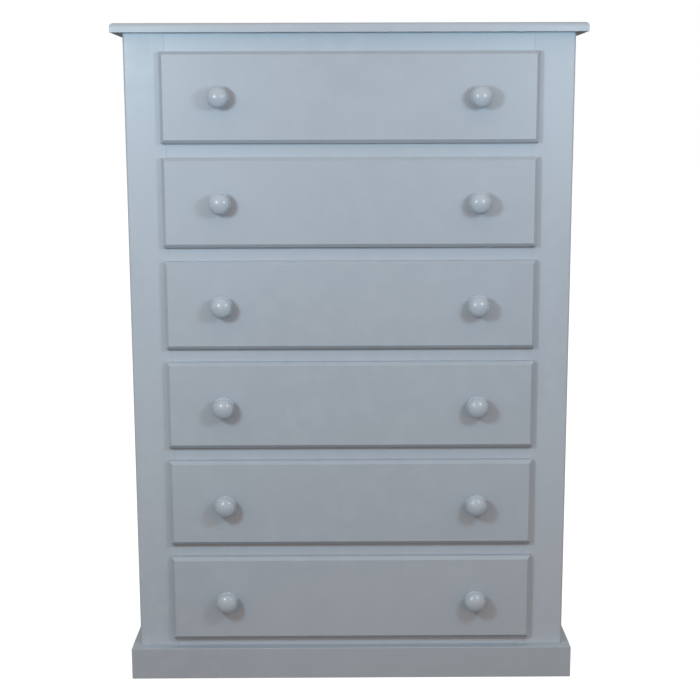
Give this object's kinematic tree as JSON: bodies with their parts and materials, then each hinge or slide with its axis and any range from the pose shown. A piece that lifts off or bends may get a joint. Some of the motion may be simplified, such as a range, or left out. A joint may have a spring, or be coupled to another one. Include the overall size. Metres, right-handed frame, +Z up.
{
  "type": "tall chest of drawers",
  "caption": "Tall painted chest of equal overlay drawers with turned knobs, a face frame, a thin top board and a plinth; each drawer slides out.",
  "frame": {"origin": "on the floor, at the middle of the overall footprint from the knob tips to the back", "axes": "+Z up, +X to the right of someone facing the chest, +Y towards its back; the drawers open along -Y"},
  "size_m": [0.838, 0.4646, 1.21],
  "materials": {
    "painted_wood": "satin paint, pale blue-grey",
    "bare_pine": "planed, unfinished",
    "plywood": "sanded, unfinished",
    "steel": "zinc-plated"
  },
  "bodies": {
    "carcass": {"top_board": "painted_wood", "left_side_panel": "painted_wood", "right_side_panel": "painted_wood", "back_panel": "plywood", "left_stile": "painted_wood", "right_stile": "painted_wood", "top_rail": "painted_wood", "middle_rail_1": "painted_wood", "middle_rail_2": "painted_wood", "middle_rail_3": "painted_wood", "middle_rail_4": "painted_wood", "middle_rail_5": "painted_wood", "bottom_rail": "painted_wood", "plinth_front": "painted_wood", "plinth_left": "painted_wood", "plinth_right": "painted_wood", "drawer_guides": "bare_pine", "drawer_runners": "bare_pine"},
    "drawer_1": {"drawer_1_front": "painted_wood", "drawer_1_box_front": "bare_pine", "drawer_1_sides": "bare_pine", "drawer_1_back": "bare_pine", "drawer_1_bottom": "plywood", "drawer_1_knobs": "painted_wood", "drawer_1_screws": "steel"},
    "drawer_2": {"drawer_2_front": "painted_wood", "drawer_2_box_front": "bare_pine", "drawer_2_sides": "bare_pine", "drawer_2_back": "bare_pine", "drawer_2_bottom": "plywood", "drawer_2_knobs": "painted_wood", "drawer_2_screws": "steel"},
    "drawer_3": {"drawer_3_front": "painted_wood", "drawer_3_box_front": "bare_pine", "drawer_3_sides": "bare_pine", "drawer_3_back": "bare_pine", "drawer_3_bottom": "plywood", "drawer_3_knobs": "painted_wood", "drawer_3_screws": "steel"},
    "drawer_4": {"drawer_4_front": "painted_wood", "drawer_4_box_front": "bare_pine", "drawer_4_sides": "bare_pine", "drawer_4_back": "bare_pine", "drawer_4_bottom": "plywood", "drawer_4_knobs": "painted_wood", "drawer_4_screws": "steel"},
    "drawer_5": {"drawer_5_front": "painted_wood", "drawer_5_box_front": "bare_pine", "drawer_5_sides": "bare_pine", "drawer_5_back": "bare_pine", "drawer_5_bottom": "plywood", "drawer_5_knobs": "painted_wood", "drawer_5_screws": "steel"},
    "drawer_6": {"drawer_6_front": "painted_wood", "drawer_6_box_front": "bare_pine", "drawer_6_sides": "bare_pine", "drawer_6_back": "bare_pine", "drawer_6_bottom": "plywood", "drawer_6_knobs": "painted_wood", "drawer_6_screws": "steel"}
  },
  "joints": [
    {"name": "drawer_1_slide", "type": "slide", "parent": "carcass", "child": "drawer_1", "axis": [0, -1, 0], "range_m": [0, 0.3]},
    {"name": "drawer_2_slide", "type": "slide", "parent": "carcass", "child": "drawer_2", "axis": [0, -1, 0], "range_m": [0, 0.3]},
    {"name": "drawer_3_slide", "type": "slide", "parent": "carcass", "child": "drawer_3", "axis": [0, -1, 0], "range_m": [0, 0.3]},
    {"name": "drawer_4_slide", "type": "slide", "parent": "carcass", "child": "drawer_4", "axis": [0, -1, 0], "range_m": [0, 0.3]},
    {"name": "drawer_5_slide", "type": "slide", "parent": "carcass", "child": "drawer_5", "axis": [0, -1, 0], "range_m": [0, 0.3]},
    {"name": "drawer_6_slide", "type": "slide", "parent": "carcass", "child": "drawer_6", "axis": [0, -1, 0], "range_m": [0, 0.3]}
  ]
}
